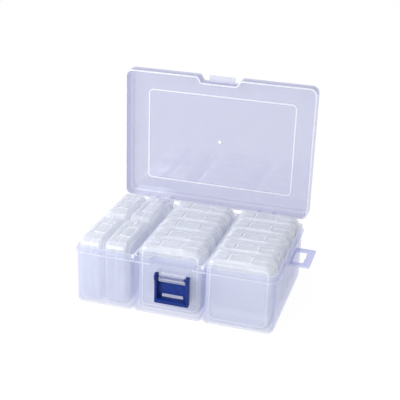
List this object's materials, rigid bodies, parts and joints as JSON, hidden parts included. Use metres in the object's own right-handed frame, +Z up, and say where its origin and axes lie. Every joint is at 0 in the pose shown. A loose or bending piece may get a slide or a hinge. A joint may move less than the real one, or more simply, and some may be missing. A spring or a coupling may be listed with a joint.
{
  "type": "keeper case",
  "caption": "Clear lidded case with three lanes of small clear inner cases standing on edge, a hinged lid, a front snap latch and a side hang tab.",
  "frame": {"origin": "middle of the tray's underside, on the surface it stands on", "axes": "+X to the right side with the hang tab, +Y to the hinged back, +Z up"},
  "size_m": [0.2432, 0.1784, 0.221],
  "materials": {
    "clear_tray": "clear, slightly lavender, glossy",
    "clear_lid": "clear, slightly lavender, glossy",
    "clear_inner": "clear, glossy",
    "blue_latch": "solid deep blue, satin gloss"
  },
  "bodies": {
    "outer_tray": {"base_tray": "clear_tray"},
    "outer_lid": {"lid": "clear_lid"},
    "latch": {"front_latch": "blue_latch"},
    "right_case_1": {"right_case_1_tray": "clear_inner", "right_case_1_lid": "clear_inner"},
    "right_case_2": {"right_case_2_tray": "clear_inner", "right_case_2_lid": "clear_inner"},
    "right_case_3": {"right_case_3_tray": "clear_inner", "right_case_3_lid": "clear_inner"},
    "right_case_4": {"right_case_4_tray": "clear_inner", "right_case_4_lid": "clear_inner"},
    "right_case_5": {"right_case_5_tray": "clear_inner", "right_case_5_lid": "clear_inner"},
    "middle_case_1": {"middle_case_1_tray": "clear_inner", "middle_case_1_lid": "clear_inner"},
    "middle_case_2": {"middle_case_2_tray": "clear_inner", "middle_case_2_lid": "clear_inner"},
    "middle_case_3": {"middle_case_3_tray": "clear_inner", "middle_case_3_lid": "clear_inner"},
    "middle_case_4": {"middle_case_4_tray": "clear_inner", "middle_case_4_lid": "clear_inner"},
    "middle_case_5": {"middle_case_5_tray": "clear_inner", "middle_case_5_lid": "clear_inner"},
    "left_case_1": {"left_case_1_tray": "clear_inner", "left_case_1_lid": "clear_inner"},
    "left_case_2": {"left_case_2_tray": "clear_inner", "left_case_2_lid": "clear_inner"},
    "left_case_3": {"left_case_3_tray": "clear_inner", "left_case_3_lid": "clear_inner"},
    "left_case_4": {"left_case_4_tray": "clear_inner", "left_case_4_lid": "clear_inner"}
  },
  "joints": [
    {"name": "lid_hinge", "type": "hinge", "parent": "outer_tray", "child": "outer_lid", "pos_m": [0, 0.0822, 0.0639], "axis": [-1, 0, 0], "range_deg": [-90, 0]},
    {"name": "latch_hinge", "type": "hinge", "parent": "outer_tray", "child": "latch", "pos_m": [0, -0.0776, 0.0495], "axis": [1, 0, 0], "range_deg": [-180, 0]},
    {"name": "right_case_1_lift", "type": "slide", "parent": "outer_tray", "child": "right_case_1", "axis": [0, 0, 1], "range_m": [0, 0.08]},
    {"name": "right_case_2_lift", "type": "slide", "parent": "outer_tray", "child": "right_case_2", "axis": [0, 0, 1], "range_m": [0, 0.08]},
    {"name": "right_case_3_lift", "type": "slide", "parent": "outer_tray", "child": "right_case_3", "axis": [0, 0, 1], "range_m": [0, 0.08]},
    {"name": "right_case_4_lift", "type": "slide", "parent": "outer_tray", "child": "right_case_4", "axis": [0, 0, 1], "range_m": [0, 0.08]},
    {"name": "right_case_5_lift", "type": "slide", "parent": "outer_tray", "child": "right_case_5", "axis": [0, 0, 1], "range_m": [0, 0.08]},
    {"name": "middle_case_1_lift", "type": "slide", "parent": "outer_tray", "child": "middle_case_1", "axis": [0, 0, 1], "range_m": [0, 0.08]},
    {"name": "middle_case_2_lift", "type": "slide", "parent": "outer_tray", "child": "middle_case_2", "axis": [0, 0, 1], "range_m": [0, 0.08]},
    {"name": "middle_case_3_lift", "type": "slide", "parent": "outer_tray", "child": "middle_case_3", "axis": [0, 0, 1], "range_m": [0, 0.08]},
    {"name": "middle_case_4_lift", "type": "slide", "parent": "outer_tray", "child": "middle_case_4", "axis": [0, 0, 1], "range_m": [0, 0.08]},
    {"name": "middle_case_5_lift", "type": "slide", "parent": "outer_tray", "child": "middle_case_5", "axis": [0, 0, 1], "range_m": [0, 0.08]},
    {"name": "left_case_1_lift", "type": "slide", "parent": "outer_tray", "child": "left_case_1", "axis": [0, 0, 1], "range_m": [0, 0.08]},
    {"name": "left_case_2_lift", "type": "slide", "parent": "outer_tray", "child": "left_case_2", "axis": [0, 0, 1], "range_m": [0, 0.08]},
    {"name": "left_case_3_lift", "type": "slide", "parent": "outer_tray", "child": "left_case_3", "axis": [0, 0, 1], "range_m": [0, 0.08]},
    {"name": "left_case_4_lift", "type": "slide", "parent": "outer_tray", "child": "left_case_4", "axis": [0, 0, 1], "range_m": [0, 0.08]}
  ]
}
